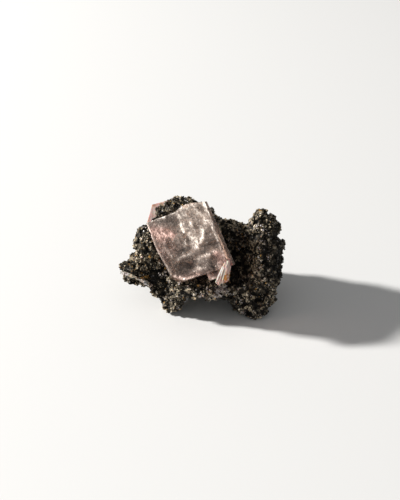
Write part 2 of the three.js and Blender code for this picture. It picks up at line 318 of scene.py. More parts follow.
rock = {
    "voxel": 0.45,
    "smoothing": 5,
    "inset": 0.35,        # the grains reach from here to the solid's own surface
    "swells": (7.5, 1.6, 0.45),  # broad forms: spacing, height, and how far out they stay raised
    "knobs": (2.9, 2.0, 0.4),    # the same for the clusters, and the crumbs on them
    "crumbs": (1.2, 0.6, 0.4),
    "riseEnds": (0.8, 1.5),      # how far from a knob's and a swell's middle the rise reaches 0
    "warp": (4.0, 1.1),          # size and reach of the swirls that make the clusters uneven
    "pits": (4.6, 2.0, 0.36),    # spacing, depth, and radius as a share of the spacing
    "pitCurve": 0.7,
    "pitDraw": 7,         # scatters the draw by which about half of the pits are kept
    "clearance": 0.1,
    "searched": 2,        # how far from a vertex a crystal is looked for
    "stone": (800, 8, 0.42, 0.68),
    "darkStone": (0.006, 0.005, 0.004),
    "paleStone": (0.19, 0.16, 0.115),
    "paintedGapShade": (0.06, 0.055, 0.05),  # painted shade: how much of that is left in the gaps between clusters
    "gapRises": (0.1, 0.6),
    "grit": (1500, 6, 0.8, 0.4),
    "roughness": 0.6,
    "specular": 0.15,
    "paintedShadeFade": (1.6, 1.1),  # painted shade places are full up to 0.55 half sizes away and end at 1.45
    "paintedShadeRise": 0.7,      # how much lower the rise counts in them, which deepens the painted shade
    "paintedShadePlaces": [  # painted shade in hollows and on sides turned from the key light, and painted light where the strength is below 0: middle, half sizes and strength
        ((15, -6, 24), (8, 14, 14), 0.9),
        ((0, -12, 20), (12, 4, 4), 0.75),
        ((13, -15, 9), (7, 5, 6), 0.8),
        ((2, -14, 3), (13, 13, 6), 0.85),
        ((-21, -9, 17), (4, 5, 3), 0.7),
        ((36.5, -3, 20), (6.5, 12, 18), 0.85),
        ((-13, 5, 40), (8, 6, 5), 0.6),
        ((-14, -14, 20), (3, 4, 2.5), 0.7),
        ((-27, 0, 26), (7, 7, 8), -0.6),
        ((0, -25, 16), (12, 4, 4), -0.5),
        ((26, -2, 25), (4, 8, 12), -0.5),
        ((21, -15, 8), (5, 6, 7), -0.4),
    ],
}


def awayFrom(places, middle, half):
    return np.linalg.norm((places - np.array(middle)) / np.array(half), axis=1)


def paintedShadeAt(places):
    # for places in millimetres: how much painted shade the rock gets there, up to 1, and below 0 where
    # it gets painted light
    light = np.ones(len(places))
    full, slope = rock["paintedShadeFade"]
    for middle, half, strength in rock["paintedShadePlaces"]:
        away = awayFrom(places, origin + Vector(middle), half)
        light *= 1 - strength * np.clip(full - slope * away, 0, 1)
    return 1 - light


def rockMaterial():
    material, tree, shader = startMaterial("darkRock")
    colour = addNoiseRamp(tree, rock["stone"], rock["darkStone"], rock["paleStone"])
    # painted shade: the base colour is darkened where the rise is low, in the gaps between clusters
    low, high = rock["gapRises"]
    shade = addRamp(tree, readAttribute(tree, "rise"), [(low, rock["paintedGapShade"]), (high, white)])
    tree.links.new(addMultiply(tree, colour, shade), shader.inputs["Base Color"])
    shader.inputs["Roughness"].default_value = rock["roughness"]
    shader.inputs["Specular IOR Level"].default_value = rock["specular"]
    addGrit(tree, shader, rock["grit"])
    return material


def bulge(place, spacing, height, level):
    # the distance from the nearest middle, in spacings, and how far the surface stands out there
    away = noise.voronoi(place / spacing)[0][0]
    return away, height * (level - away)


def makeRock():
    coarse = meshFrom(mergedCopy("host_rock"), "coarseRock")
    mesh = voxelMesh(coarse, rock["voxel"], rock["smoothing"])
    mesh.name = "rockBody"
    places, normals = vertexArray(mesh), vertexArray(mesh, "normal")
    (swirl, reach), (pitSpacing, depth, radius) = rock["warp"], rock["pits"]
    knobEnd, swellEnd = rock["riseEnds"]
    heights, rises = np.empty(len(places)), np.empty(len(places))
    for i, place in enumerate(places):
        warped = Vector(place) / mm + reach * noise.noise_vector(Vector(place) / (swirl * mm))
        swell, swellHeight = bulge(warped, *rock["swells"])
        knob, knobHeight = bulge(warped, *rock["knobs"])
        crumb, crumbHeight = bulge(warped, *rock["crumbs"])
        distances, middles = noise.voronoi(warped / pitSpacing)
        pit, kept = distances[0], noise.cell(middles[0] * rock["pitDraw"]) > 0
        sink = max(1 - pit / radius, 0) ** rock["pitCurve"] if kept else 0
        rises[i] = max(1 - knob / knobEnd, 0) * min(swellEnd - swell, 1) * (1 - sink)
        heights[i] = swellHeight + knobHeight + crumbHeight - depth * sink
    # painted shade: rises are lowered in the painted shade places, so the rock and its grains are darker
    # there
    rises *= 1 - rock["paintedShadeRise"] * paintedShadeAt(places / mm)
    places += normals * ((heights - rock["inset"]) * mm)[:, None]
    places = keptOffCrystals(places, rock["clearance"] * mm, rock["searched"] * mm)
    places = np.clip(places, *(np.array(corner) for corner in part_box("host_rock")))
    mesh.vertices.foreach_set("co", places.ravel())
    addAttribute(mesh, "rise", rises)
    mesh.shade_smooth()
    mesh.update()
    piece = finishPiece("rockBody", mesh, rockMaterial())
    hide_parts("host_rock")
    print("rock body", len(mesh.polygons), "faces, mean rise", round(float(rises.mean()), 2))
    return piece


rockBody = makeRock()


# the grains that cover the rock: small crystals in several sizes and colours

grainKinds = {
    "clods": {
        "count": 1000,
        "sizes": (0.75, 1.35),    # half lengths
        "roughness": 0.45,
        "colours": [
            (0.0, (0.012, 0.01, 0.007)),
            (0.5, (0.18, 0.145, 0.105)),
            (1.0, (0.52, 0.44, 0.33)),
        ],
    },
    "darkGrains": {
        "count": 4200,
        "sizes": (0.4, 1.0),
        "roughness": 0.22,
        "colours": [
            (0.0, (0.004, 0.0034, 0.003)),
            (0.6, (0.016, 0.0135, 0.01)),
            (1.0, (0.05, 0.042, 0.03)),
        ],
    },
    "oliveGrains": {
        "count": 9500,
        "sizes": (0.28, 0.88),
        "roughness": 0.38,
        "colours": [
            (0.0, (0.05, 0.041, 0.028)),
            (0.5, (0.58, 0.495, 0.36)),
            (1.0, (0.88, 0.78, 0.63)),
        ],
    },
    "paleGrains": {
        "count": 5200,
        "sizes": (0.22, 0.62),
        "roughness": 0.3,
        "colours": [
            (0.0, (0.62, 0.52, 0.38)),
            (0.45, (0.88, 0.79, 0.66)),
            (0.75, (0.76, 0.71, 0.76)),
        ],
    },
    "warmGrains": {
        "count": 2300,
        "sizes": (0.25, 0.6),
        "roughness": 0.4,
        "colours": [
            (0.0, (0.28, 0.15, 0.05)),
            (0.6, (0.74, 0.43, 0.13)),
            (1.0, (0.7, 0.54, 0.5)),
        ],
    },
    "paleCrust": {
        "count": 330,
        "sizes": (0.35, 0.85),
        "roughness": 0.22,
        "colours": [
            (0.0, (0.16, 0.135, 0.13)),
            (0.5, (0.52, 0.46, 0.45)),
            (1.0, (0.95, 0.89, 0.87)),
        ],
        "patches": [  # middle and half sizes
            ((10.5, -21.2, 18), (4, 2.5, 1.8)),
            ((3.6, -24, 16.1), (5, 2.5, 1)),
            ((-17.6, -8.2, 17.2), (1.5, 1.4, 1.2)),
            ((18.7, -18, 3), (2, 2, 1.5)),
        ],
    },
    "ochreCrust": {
        "count": 45,
        "sizes": (0.3, 0.6),
        "roughness": 0.4,
        "colours": [
            (0.0, (0.4, 0.18, 0.04)),
            (1.0, (0.85, 0.52, 0.18)),
        ],
        "patches": [((-25.3, -9.4, 15.9), (2.2, 1.4, 1))],
    },
}
grain = {
    "firstSeed": 21,          # each kind has the next one
    "sunk": 0.05,             # how deep they sit, in half lengths
    "clearance": 1.15,        # how far they stay from the crystals, in half lengths
    "searched": 1.6,          # how far from a grain a crystal is looked for
    "foot": 0.7,              # none lies lower than this
    "sizeCurve": 1.3,         # above 1, so that small ones are more frequent
    "flattest": 0.36,         # the shortest that a side can be beside the others
    "block": 1.5,             # its side; all the shapes are in half lengths
    "prism": (6, 0.85, 0.6, 1.7),   # sides, radius at the base and at the top, height
    "shard": (5, 0.95, 0.3, 1.7),
    "jitter": 0.3,            # how far their corners are moved
    "inGaps": 0.05,           # how many sit in the gaps between clusters, beside those on top
    "riseCurve": 1.3,
    "patchEnd": 1.5,          # half sizes from a patch's middle at which it ends
    "ownTone": 0.85,          # how much the grains differ from their neighbours
    "patches": [(1.9, 0.65), (6.0, 0.4)],  # sizes of lighter and darker patches, and how strong they are
    "paintedShadeStrength": 0.85,             # how strongly the painted shade and painted light places darken or lighten the grains
    "paintedGapLight": 0.03,         # painted shade: how much light the ones in the gaps keep
    "gaps": (0.05, 0.34, 1.15),  # the rise of a gap, how much more gives full painted light, and the curve
    "lightest": 1.25,         # the most painted light a grain outside the patches gets
    "patchLight": 0.6,        # the least painted light the ones in patches get
    "specks": (2300, 2, 0.4, 0.53),
    "darkSpeck": (0.1, 0.1, 0.1),
    "paleSpeck": (1.0, 0.99, 0.96),
    "speckled": 0.85,
    "specular": 0.22,
}


def grainShapes(random):
    # three rough little crystals: a block, a stubby prism and a shard
    shapes = []
    for kind in ("block", "prism", "shard"):
        bm = bmesh.new()
        if kind == "block":
            bmesh.ops.create_cube(bm, size=grain["block"])
        else:
            segments, base, top, height = grain[kind]
            shape = {"segments": segments, "radius1": base, "radius2": top, "depth": height}
            bmesh.ops.create_cone(bm, cap_ends=True, cap_tris=True, **shape)
        for vert in bm.verts:
            vert.co += Vector(random.uniform(-grain["jitter"], grain["jitter"], 3))
        bmesh.ops.triangulate(bm, faces=bm.faces)
        corners = np.array([vert.co for vert in bm.verts])
        faces = np.array([[vert.index for vert in face.verts] for face in bm.faces])
        shapes.append((corners, faces))
        bm.free()
    return shapes


def randomTurns(random, count):
    # even random rotations, from unit quaternions
    q = random.normal(size=(count, 4))
    w, x, y, z = (q / np.linalg.norm(q, axis=1)[:, None]).T
    rows = [
        [1 - 2 * (y * y + z * z), 2 * (x * y - w * z), 2 * (x * z + w * y)],
        [2 * (x * y + w * z), 1 - 2 * (x * x + z * z), 2 * (y * z - w * x)],
        [2 * (x * z - w * y), 2 * (y * z + w * x), 1 - 2 * (x * x + y * y)],
    ]
    return np.moveaxis(np.array(rows), 2, 0)


def surfacePlaces(mesh, random, count, patches=None):
    # spread over the whole mesh, more on its clusters, or within patches only
    mesh.calc_loop_triangles()
    corners = np.empty(len(mesh.loop_triangles) * 3, np.int32)
    mesh.loop_triangles.foreach_get("vertices", corners)
    triangles = vertexArray(mesh)[corners.reshape(-1, 3)]
    sides = triangles[:, 1:] - triangles[:, :1]
    normals = np.cross(sides[:, 0], sides[:, 1])
    areas = np.linalg.norm(normals, axis=1)
    rises = np.empty(len(mesh.vertices), np.float32)
    mesh.attributes["rise"].data.foreach_get("value", rises)
    rises = rises[corners[::3]]
    likely = areas * (grain["inGaps"] + rises ** grain["riseCurve"])
    if patches:
        middles = triangles.mean(axis=1) / mm - np.array(origin)
        away = [awayFrom(middles, middle, half) for middle, half in patches]
        likely = areas * np.clip(grain["patchEnd"] - np.min(away, axis=0), 0, 1)
    chosen = random.choice(len(areas), count, p=likely / likely.sum())
    share = random.random((count, 2))
    share = np.where(share.sum(1, keepdims=True) > 1, 1 - share, share)
    places = triangles[chosen, 0] + np.einsum("ni,nij->nj", share, sides[chosen])
    return places, normals[chosen] / areas[chosen][:, None], rises[chosen]


def makeGrains(name, kind, seed):
    random = np.random.default_rng(seed)
    places, normals, rises = surfacePlaces(rockBody.data, random, kind["count"], kind.get("patches"))
    low, high = kind["sizes"]
    sizes = (low + (high - low) * random.random(kind["count"]) ** grain["sizeCurve"]) * mm
    places -= normals * (grain["sunk"] * sizes)[:, None]
    free = places[:, 2] > grain["foot"] * mm
    for i, place in enumerate(places):
        near, normal = crystalTree.find_nearest(Vector(place), grain["searched"] * mm)[:2]
        if near is not None and (Vector(place) - near).dot(normal) < grain["clearance"] * sizes[i]:
            free[i] = False
    places, sizes, rises = places[free], sizes[free], rises[free]
    count = len(places)
    scales = sizes[:, None] * (grain["flattest"] + (1 - grain["flattest"]) * random.random((count, 3)))
    turns = randomTurns(random, count)
    tones = 0.5 + grain["ownTone"] * (random.random(count) - 0.5)
    for patchSize, strength in grain["patches"]:
        tones += strength * np.array([noise.noise(Vector(place) / (patchSize * mm)) for place in places])
    tones = np.clip(tones, 0, 1)
    # painted light and shade: grains in the gaps between clusters are darker, and the painted shade
    # places darken or lighten them
    gapRise, fullRise, curve = grain["gaps"]
    lit = np.clip((rises - gapRise) / fullRise, 0, 1) ** curve
    light = grain["paintedGapLight"] + (1 - grain["paintedGapLight"]) * lit
    light *= 1 - grain["paintedShadeStrength"] * paintedShadeAt(places / mm)
    if "patches" in kind:
        light = grain["patchLight"] + (1 - grain["patchLight"]) * light
    else:
        light = np.minimum(light, grain["lightest"])
    corners, faces, values, lights, offset = [], [], [], [], 0
    for k, (shapeCorners, shapeFaces) in enumerate(grainShapes(random)):
        own = np.arange(k, count, 3)
        placed = np.einsum("nij,nvj->nvi", turns[own], shapeCorners[None] * scales[own, None])
        placed += places[own, None]
        corners.append(placed.reshape(-1, 3))
        starts = offset + np.arange(len(own)) * len(shapeCorners)
        faces.append((shapeFaces[None] + starts[:, None, None]).reshape(-1, 3))
        values.append(np.repeat(tones[own], len(shapeCorners)))
        lights.append(np.repeat(light[own], len(shapeCorners)))
        offset += len(own) * len(shapeCorners)
    corners = np.clip(np.concatenate(corners), *(np.array(corner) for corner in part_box("host_rock")))
    mesh = bpy.data.meshes.new(name)
    mesh.from_pydata(corners.tolist(), [], np.concatenate(faces).tolist())
    addAttribute(mesh, "tone", np.concatenate(values))
    addAttribute(mesh, "light", np.concatenate(lights))
    material, tree, shader = startMaterial(name)
    colour = addRamp(tree, readAttribute(tree, "tone"), kind["colours"])
    specks = addNoiseRamp(tree, grain["specks"], grain["darkSpeck"], grain["paleSpeck"])
    speckled = addMultiply(tree, colour, specks, grain["speckled"])
    # the painted light and shade multiplies the grains' colour
    lit = addMultiply(tree, speckled, readAttribute(tree, "light", "Color"))
    tree.links.new(lit, shader.inputs["Base Color"])
    shader.inputs["Roughness"].default_value = kind["roughness"]
    shader.inputs["Specular IOR Level"].default_value = grain["specular"]
    finishPiece(name, mesh, material)
    print(name, count, "grains,", len(mesh.polygons), "faces")


for seed, (name, kind) in enumerate(grainKinds.items(), grain["firstSeed"]):
    makeGrains(name, kind, seed)


# the large clear rhomb

rhomb = {
    "across": (27.1, -5.4, 14.4),  # edges of the front face, from its top left corner
    "down": (11.6, -26.0, -17.5),
    "back": (0.56, 0.75, -0.35),   # the way its other edges run
    "depths": ((9, 2), (11, 3.4)),  # their lengths: top left and right, bottom left and right
    "usualDepth": 6.0,
    "cuts": 62,
    "onFace": 1e-6,                # a vertex this near a face lies on it
    "edgeWear": (0.05, 0.4),       # least and greatest chamfer
    "chippedEdge": (0.2, 1.6),     # the same for the front face's lower edge
    "chippedFrom": (0.9, 0.3),     # that edge lies lower than the first share and in front of the second
    "wear": (9, 31, 0.5, 0.25, 1.5),  # two noises' scales, share of the second, what is added, curve
    "paintedEdgeHighlight": (0.3, 0.25),       # painted highlight: how wide the edges are white, and how much whiter
    "milk": (0.085, 0.05, 0.035),  # everywhere, more at the upper right, less at the bottom
    "leastMilk": 0.015,
    "mostMilk": 0.9,
    "clearing": 0.8,               # how much of the milk goes where there is smoke
    "pink": (0.12, 0.1),           # everywhere, and more at the bottom
    "band": (0.01, 0.9),           # milk and smoke of the narrow right side
    "bandFrom": (0.85, 0.1, 0.5),  # the least shares across and down, and how much it faces right
    "outerEdge": (0.3, 0.7),       # width and milk of the white line along its outer edge
    "brow": [(0.5, 0), (0.58, 0.032), (0.7, 0.058), (0.8, 0.046), (0.985, 0)],  # shares across and up
    "browDepth": 2,
    "browFade": (2, 5),            # millimetres behind that depth, and steepness down the face
    "step": ((0.58, 0.94, 1.3), (0.79, 1.11, 4.4)),  # two corners of the lower step
    "stepCuts": 13,
    "breaks": [  # three places on a break's plane: shares across and down, and millimetres deep
        ((0, 0.44, 0), (0.07, 0.87, 0), (0, 0.87, 2.6)),
        ((0.05, 0.86, 0), (0.24, 1.0, 0), (0.1, 1.0, 4.5)),
        ((1, 0.28, 0), (0.97, 0.8, 0), (1, 0.9, 0.7)),
        ((0.8, 1, 0), (1, 0.88, 0), (1, 1, 2.2)),
    ],
}
topLeft = topRight - Vector(rhomb["across"])


def onRhomb(across, down, deep):
    # shares across and down the front face, and millimetres behind it
    place = topLeft + Vector(rhomb["across"]) * across
    return place + Vector(rhomb["down"]) * down + Vector(rhomb["back"]) * deep


def frontFacing():
    return Vector(rhomb["across"]).cross(Vector(rhomb["down"])).normalized()


def depthAt(across, down):
    (topLeftDepth, topRightDepth), (bottomLeftDepth, bottomRightDepth) = rhomb["depths"]
    top = topLeftDepth + (topRightDepth - topLeftDepth) * across
    bottom = bottomLeftDepth + (bottomRightDepth - bottomLeftDepth) * across
    return top + (bottom - top) * down


# what is seen in the crystal: for each streak the shares across and down of its two ends,
# its half width in millimetres and its strength
markings = {
    "milk": [
        ((0.6, 0.0), (0.66, 0.3), 3.0, 0.13),       # haze of the upper right
        ((0.8, -0.02), (0.84, 0.14), 2.6, 0.1),
        ((0.9, 0.2), (0.88, 0.3), 2.4, 0.18),
        ((0.62, 0.42), (0.6, 0.58), 2.0, 0.3),
        ((0.8, 0.38), (0.74, 0.5), 1.4, 0.22),
        ((0.4, 0.3), (0.45, 0.5), 2.4, 0.06),
        ((0.55, 0.02), (0.52, 0.3), 1.2, 0.06),
        ((0.6, -0.03), (0.85, -0.03), 0.9, 0.12),
        ((0.975, 0.01), (0.99, 0.17), 0.7, 0.5),    # painted highlight along the right edge, from the top corner down
        ((1.0, 0.2), (1.0, 0.42), 0.45, 0.4),
        ((0.965, 0.3), (0.955, 0.6), 0.35, 0.35),
        ((0.955, 0.6), (0.96, 0.85), 0.3, 0.3),
        ((1.0, 0.55), (1.005, 0.7), 0.6, 0.3),
        ((0.53, 0.03), (0.54, 0.1), 0.4, 0.5),    # painted highlights of small facets down the middle
        ((0.53, 0.12), (0.52, 0.2), 0.35, 0.3),
        ((0.52, 0.2), (0.515, 0.33), 0.45, 0.6),
        ((0.57, 0.37), (0.61, 0.45), 0.6, 0.6),
        ((0.47, 0.47), (0.48, 0.5), 0.35, 0.4),
        ((0.67, 0.22), (0.66, 0.28), 0.4, 0.3),
        ((0.82, 0.05), (0.84, 0.12), 0.4, 0.3),
        ((0.9, 0.27), (0.96, 0.29), 0.35, 0.4),
        ((0.88, 0.3), (0.94, 0.32), 0.35, 0.3),
        ((0.81, 0.37), (0.78, 0.46), 0.55, 0.35),    # bright blaze right of the middle
        ((0.76, 0.48), (0.69, 0.56), 0.65, 0.6),
        ((0.66, 0.46), (0.62, 0.6), 0.8, 0.3),
        ((0.27, 0.67), (0.37, 0.65), 0.8, 0.2),     # beige veil across the lower part
        ((0.37, 0.65), (0.53, 0.66), 0.7, 0.17),
        ((0.57, 0.75), (0.72, 0.75), 0.9, 0.22),
        ((0.72, 0.75), (0.87, 0.75), 0.9, 0.24),
        ((0.55, 0.8), (0.68, 0.8), 1.5, 0.12),
        ((0.5, 0.9), (0.6, 0.92), 1.1, 0.26),
        ((0.14, 0.45), (0.19, 0.62), 0.3, 0.25),   # thin lines at the lower left
        ((0.22, 0.5), (0.24, 0.62), 0.3, 0.07),
        ((0.15, 0.36), (0.19, 0.36), 0.4, 0.3),     # flecks
        ((0.26, 0.5), (0.29, 0.5), 0.35, 0.3),
        ((0.33, 0.53), (0.34, 0.55), 0.3, 0.15),
        ((0.08, 0.16), (0.2, 0.24), 2.6, 0.26),     # pink cloud
        ((0.1, 0.28), (0.3, 0.3), 1.8, 0.12),
        ((0.1, 0.4), (0.16, 0.55), 1.8, 0.08),
        ((0.31, 0.28), (0.34, 0.34), 1.1, 0.2),
        ((0.1, 0.06), (0.2, 0.12), 0.8, 0.08),
        ((0.02, 0.01), (0.26, 0.005), 0.35, 0.16),  # painted highlight along the top edge
        ((0.26, 0.015), (0.31, 0.01), 0.5, 0.42),
        ((0.32, 0.01), (0.5, 0.0), 0.3, 0.08),
        ((0.01, 0.01), (0.012, 0.12), 0.5, 0.5),    # painted highlight along the left edge
        ((0.012, 0.12), (0.015, 0.42), 0.35, 0.28),
        ((0.015, 0.45), (0.075, 0.85), 0.3, 0.35),
        ((0.12, 0.9), (0.2, 0.95), 0.8, 0.35),      # chipped lower edge
        ((0.22, 0.97), (0.36, 0.99), 0.7, 0.4),
        ((0.36, 0.99), (0.5, 0.98), 0.5, 0.3),
        ((0.3, 0.93), (0.5, 0.9), 1.3, 0.1),
        ((0.58, 1.08), (0.78, 1.1), 0.7, 0.4),
        ((0.6, 1.0), (0.66, 1.08), 0.9, 0.12),
        ((0.86, 0.92), (0.8, 1.04), 1.2, 0.3),
        ((0.9, 0.78), (0.93, 0.9), 1.6, 0.14),
        ((0.66, 0.88), (0.7, 0.96), 0.8, 0.14),
    ],
    "smoke": [                                      # clear windows, where dark rock shows
        ((0.35, 0.08), (0.46, 0.12), 1.6, 0.35),
        ((0.88, 0.05), (0.9, 0.09), 0.9, 0.6),
        ((0.92, 0.12), (0.94, 0.15), 0.8, 0.4),
        ((0.72, 0.28), (0.73, 0.32), 0.9, 0.6),
        ((0.53, 0.43), (0.54, 0.47), 0.7, 0.7),
        ((0.68, 0.57), (0.7, 0.58), 0.7, 0.7),
        ((0.8, 0.6), (0.88, 0.63), 1.4, 0.8),
        ((0.78, 0.79), (0.79, 0.83), 0.9, 0.7),
        ((0.72, 0.94), (0.74, 1.0), 1.4, 0.8),
        ((0.3, 0.76), (0.42, 0.82), 1.9, 0.9),
        ((0.16, 0.8), (0.3, 0.9), 1.2, 0.6),
        ((0.1, 0.6), (0.16, 0.8), 1.8, 0.4),
        ((0.2, 0.36), (0.22, 0.5), 1.0, 0.4),
        ((0.3, 0.55), (0.5, 0.57), 1.2, 0.3),
    ],
    "pink": [
        ((0.05, 0.14), (0.2, 0.22), 2.8, 0.9),
        ((0.1, 0.26), (0.32, 0.3), 2.2, 0.5),
        ((0.27, 0.2), (0.3, 0.3), 0.6, 0.8),
        ((0.31, 0.28), (0.34, 0.32), 1.2, 0.6),
        ((0.15, 0.3), (0.25, 0.5), 3.0, 0.4),
        ((0.04, 0.42), (0.1, 0.6), 1.8, 0.4),
        ((0.1, 0.93), (0.5, 0.97), 1.5, 0.5),
        ((0.86, 0.8), (0.92, 0.98), 2.6, 0.8),
        ((0.6, 1.02), (0.8, 1.05), 2.0, 0.6),
    ],
}
torn = {  # how far and how coarsely the markings' edges are torn, and how little depth counts
    "reach": 0.35,
    "size": 1.6,
    "behind": 0.55,
}


def markingValues(places, streaks):
    facing = np.array(frontFacing())
    warps = np.array([noise.noise_vector(Vector(place) / torn["size"]) for place in places])
    warped = places + torn["reach"] * warps
    values = np.zeros(len(places))
    for start, end, width, strength in streaks:
        a, b = np.array(onRhomb(*start, 0)), np.array(onRhomb(*end, 0))
        along = b - a
        share = np.clip((warped - a) @ along / (along @ along), 0, 1)
        gaps = warped - a - share[:, None] * along
        gaps -= torn["behind"] * (gaps @ facing)[:, None] * facing
        away = np.linalg.norm(gaps, axis=1)
        values += strength * np.exp(-((away / width) ** 2))
    return values


calcite = {
    "ior": 1.658,
    "clearColour": (0.84, 0.72, 0.64),
    "milkColour": (0.95, 0.87, 0.78),
    "pinkTint": (1.0, 0.72, 0.7),
    "tint": (0.9, 0.8, 0.72),
    "tintDensity": 50,
    "smoke": (0.2, 0.17, 0.15),
    "roughness": (0.02, 0.38),     # where it is clear, and where it is milky
    "colourPositions": (0.05, 0.6),
    "drawnOut": (1, 0.3, 0.7),     # how the noises lie along the crystal
    "veils": (0.6, 6, 0.3, 0.7, 0.5, 1.5),
    "crumbs": (2.6, 4, 0.36, 0.64, 0.4, 1.6),
    "flecks": (900, 2, 0.64, 0.74, 0, 0.4),
    "mottle": (0.55, 5, 0.3, 0.7, 0.6, 1.4),
    "smokeGrain": (3.5, 3, 0.35, 0.6, 0.3, 1),
    "lines": (2.2, 0.12, 0.5),     # how the fine growth lines lie
    "lineNoise": (0.8, 3),
    "ripples": (160, 4),
    "relief": (0.1, 0.3),          # strength and depth of ripples and lines
}


def alongCrystal(tree, scale):
    lie = readAttribute(tree, "lie", "Vector")
    return addNode(tree, "Mapping", {"Vector": lie, "Scale": scale}).outputs["Vector"]


def calciteMaterial():
    material, tree, shader = startMaterial("clearCalcite")
    drawnOut = alongCrystal(tree, calcite["drawnOut"])
    veils = addNoiseRange(tree, calcite["veils"], drawnOut)
    crumbs = addNoiseRange(tree, calcite["crumbs"], drawnOut)
    flecks = addNoiseRange(tree, calcite["flecks"])
    mottle = addNoiseRange(tree, calcite["mottle"], readAttribute(tree, "lie", "Vector"))
    # the milk, which also holds painted highlights along the edges and down the middle
    cloud = readAttribute(tree, "milk")
    for factor in (veils, mottle, crumbs):
        cloud = addMath(tree, "MULTIPLY", cloud, factor)
    cloud = addMath(tree, "ADD", cloud, flecks, clamped=True)
    clear = addMath(tree, "SUBTRACT", 1, cloud, clamped=True)
    tree.links.new(clear, shader.inputs["Transmission Weight"])
    clearPosition, milkPosition = calcite["colourPositions"]
    stops = [(clearPosition, calcite["clearColour"]), (milkPosition, calcite["milkColour"])]
    colour = addRamp(tree, cloud, stops)
    tint = addRamp(tree, readAttribute(tree, "pink"), [(0, white), (1, calcite["pinkTint"])])
    smokeGrain = addNoiseRange(tree, calcite["smokeGrain"], drawnOut)
    smoke = addMath(tree, "MULTIPLY", readAttribute(tree, "smoke"), smokeGrain, clamped=True)
    shade = addRamp(tree, smoke, [(0, white), (1, calcite["smoke"])])
    tinted = addMultiply(tree, colour, tint)
    tree.links.new(addMultiply(tree, tinted, shade), shader.inputs["Base Color"])
    shader.inputs["IOR"].default_value = calcite["ior"]
    tree.links.new(addRange(tree, cloud, 0, 1, *calcite["roughness"]), shader.inputs["Roughness"])
    lines = addNoise(tree, *calcite["lineNoise"], alongCrystal(tree, calcite["lines"]))
    strength, depth = calcite["relief"]
    relief = addMath(tree, "ADD", addNoise(tree, *calcite["ripples"]), lines)
    addBump(tree, shader, relief, strength, depth * mm)
    absorption = addNode(tree, "VolumeAbsorption")
    absorption.inputs["Color"].default_value = (*calcite["tint"], 1)
    absorption.inputs["Density"].default_value = calcite["tintDensity"]
    tree.links.new(absorption.outputs["Volume"], tree.nodes["Material Output"].inputs["Volume"])
    return material


clearCalcite = calciteMaterial()


def placedShares(places):
    # the reverse of onRhomb
    edges = np.array([rhomb["across"], rhomb["down"], rhomb["back"]])
    return (places - np.array(topLeft)) @ np.linalg.inv(edges)


def rhombLengths(depth):
    return np.array([Vector(rhomb["across"]).length, Vector(rhomb["down"]).length, depth])


def rhombBlock():
    bm = bmesh.new()
    bmesh.ops.create_cube(bm, size=1)
    bmesh.ops.subdivide_edges(bm, edges=bm.edges, cuts=rhomb["cuts"], use_grid_fill=True)
    shares = np.array([vert.co for vert in bm.verts]) + 0.5
    lengths = rhombLengths(rhomb["usualDepth"])
    chippedDown, chippedDeep = rhomb["chippedFrom"]
    coarse, fine, fineShare, added, curve = rhomb["wear"]
    fadeBack, fadeDown = rhomb["browFade"]
    places = np.empty_like(shares)
    for i, (across, down, deep) in enumerate(shares):
        chipped = down > chippedDown and deep < chippedDeep
        least, greatest = rhomb["chippedEdge" if chipped else "edgeWear"]
        share = Vector((across, down, deep))
        rough = noise.noise(share * coarse) + fineShare * noise.noise(share * fine)
        wear = least + (greatest - least) * max(rough + added, 0) ** curve
        inside = np.minimum(shares[i], 1 - shares[i]) * lengths
        if np.sort(inside)[1] < wear:
            for axis in np.flatnonzero(inside < rhomb["onFace"]):
                others = np.delete(inside, axis).min()
                step = (wear - others) / 2 / lengths[axis]
                shares[i, axis] += step if shares[i, axis] < 0.5 else -step
        across, down, deep = shares[i]
        deep *= depthAt(across, down)
        rise = np.interp(across, *zip(*rhomb["brow"]))
        rise *= np.clip(fadeBack + rhomb["browDepth"] - deep, 0, fadeBack) / fadeBack
        down -= rise * max(1 - fadeDown * down, 0)
        places[i] = onRhomb(across, down, deep)
    centre = np.array(onRhomb(0.5, 0.5, rhomb["usualDepth"] / 2))
    for corners in rhomb["breaks"]:
        a, b, c = (np.array(onRhomb(*corner)) for corner in corners)
        outward = np.cross(b - a, c - a)
        outward /= np.linalg.norm(outward)
        outward *= -np.sign(outward @ (centre - a))
        beyond = np.maximum((places - a) @ outward, 0)
        places -= beyond[:, None] * outward
    for vert, place in zip(bm.verts, places):
        vert.co = Vector(place) * mm
    bmesh.ops.recalc_face_normals(bm, faces=bm.faces)
    return meshFrom(bm, "clearRhomb")


def stepBlock():
    bm = bmesh.new()
    bmesh.ops.create_cube(bm, size=1)
    bmesh.ops.subdivide_edges(bm, edges=bm.edges, cuts=rhomb["stepCuts"], use_grid_fill=True)
    least, greatest = (np.array(corner) for corner in rhomb["step"])
    for vert in bm.verts:
        vert.co = onRhomb(*(least + (greatest - least) * (np.array(vert.co) + 0.5))) * mm
    bmesh.ops.recalc_face_normals(bm, faces=bm.faces)
    step = bpy.data.objects.new("lowerStep", meshFrom(bm, "lowerStep"))
    bpy.context.scene.collection.objects.link(step)
    return step


